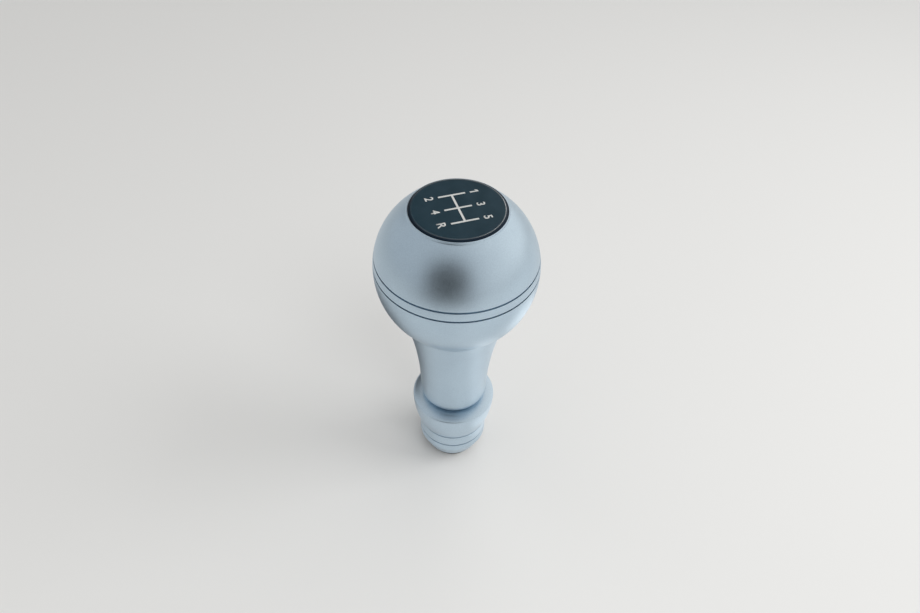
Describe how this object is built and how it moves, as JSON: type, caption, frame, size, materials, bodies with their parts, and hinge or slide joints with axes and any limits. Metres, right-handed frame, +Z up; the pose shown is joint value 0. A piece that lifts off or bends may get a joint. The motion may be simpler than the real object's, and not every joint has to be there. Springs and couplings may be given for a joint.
{
  "type": "gear shift knob",
  "caption": "Satin metal ball gear knob with a flared neck, a dark shift pattern plate on top and a swivelling gaiter collar; screws onto a gear lever.",
  "frame": {"origin": "on the lever's axis, in the plane of the sleeve's foot face that the knob stands on", "axes": "+Z up along the lever, +Y towards the front of the car, +X to the driver's right"},
  "size_m": [0.05, 0.05, 0.1137],
  "materials": {
    "satin_aluminium": "fine bead-blasted satin, clear anodised",
    "collar_aluminium": "turned satin, clear anodised",
    "plate_dark": "satin slate black",
    "pattern_white": "off-white print, satin",
    "sleeve_black": "moulded, fine texture",
    "bush_brass": "machined"
  },
  "bodies": {
    "knob": {"knob_body": "satin_aluminium", "shift_plate": "plate_dark", "thread_bush": "bush_brass", "lever_sleeve": "sleeve_black"},
    "collar": {"gaiter_collar": "collar_aluminium"}
  },
  "joints": [
    {"name": "collar_swivel", "type": "hinge", "parent": "knob", "child": "collar", "pos_m": [0, 0, 0.0173], "axis": [0, 0, 1], "continuous": true}
  ]
}
